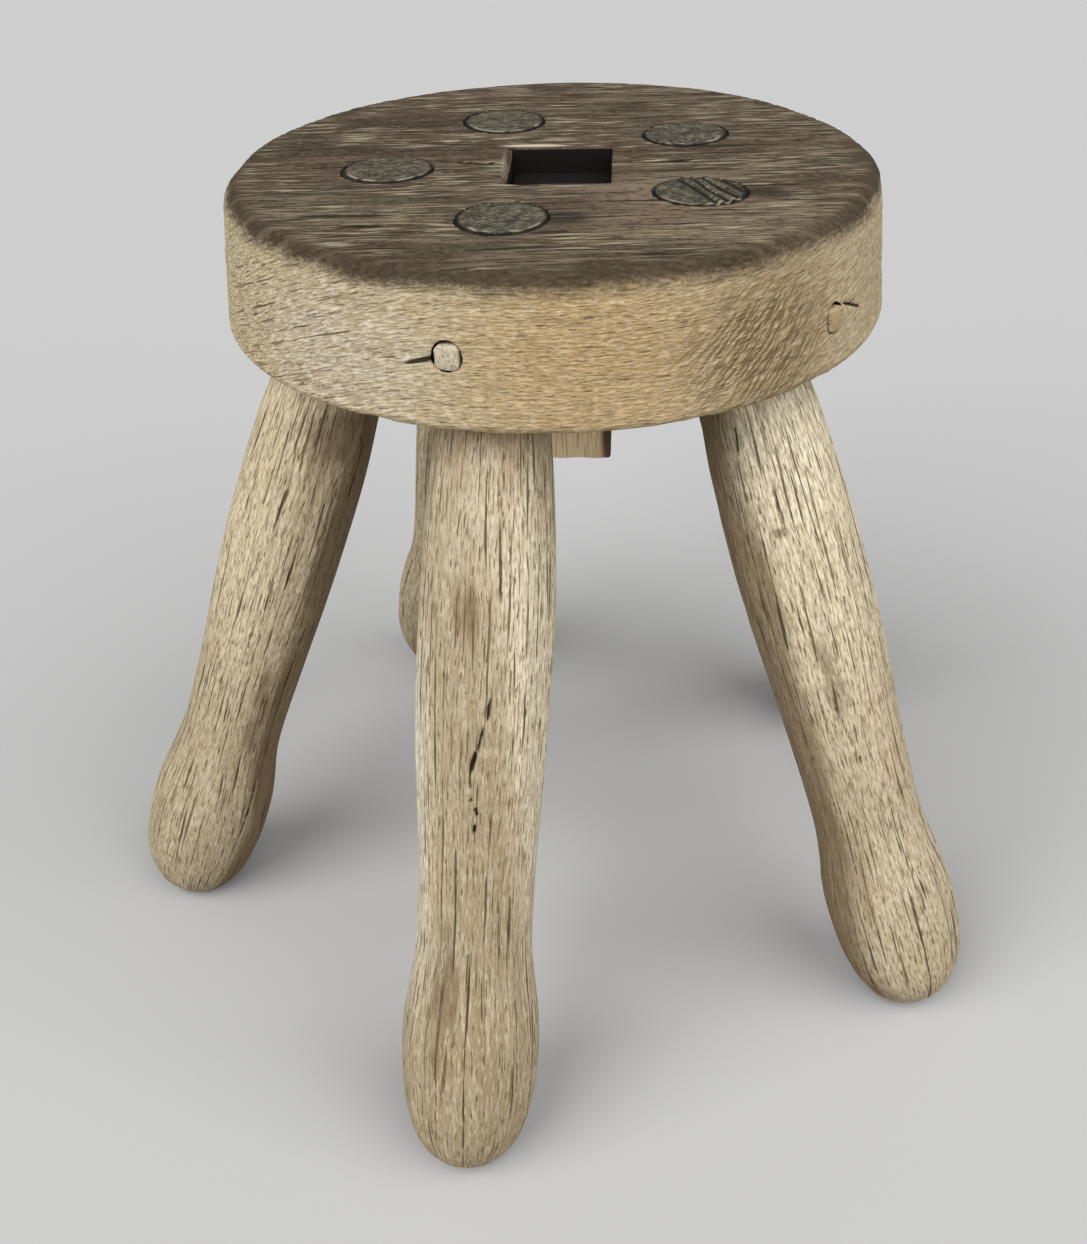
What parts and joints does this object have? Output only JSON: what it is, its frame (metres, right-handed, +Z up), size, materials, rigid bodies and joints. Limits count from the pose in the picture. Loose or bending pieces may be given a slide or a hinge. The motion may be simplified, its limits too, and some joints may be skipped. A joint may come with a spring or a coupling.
{
  "type": "milking stool",
  "caption": "Low oak stool with a thick round slab seat on splayed club-footed legs, their round tenons pegged through the seat, and a block in a square central hole.",
  "frame": {"origin": "on the floor, under the middle of the stool's outline", "axes": "+Z up, square to the seat's top; the seat's grain runs along X and the front of the stool faces -Y"},
  "size_m": [0.3781, 0.3936, 0.3464],
  "materials": {
    "seat_oak": "weathered, worn and dry",
    "leg_oak": "weathered, shaved and dry",
    "peg_oak": "weathered end grain",
    "block_wood": "sawn and dry"
  },
  "bodies": {
    "root": {"seat": "seat_oak", "leg_front": "leg_oak", "leg_right": "leg_oak", "leg_back_right": "leg_oak", "leg_back_left": "leg_oak", "leg_left": "leg_oak", "peg_front": "peg_oak", "peg_right": "peg_oak", "peg_back_right": "peg_oak", "peg_back_left": "peg_oak", "peg_left": "peg_oak", "centre_block": "block_wood"}
  },
  "joints": []
}
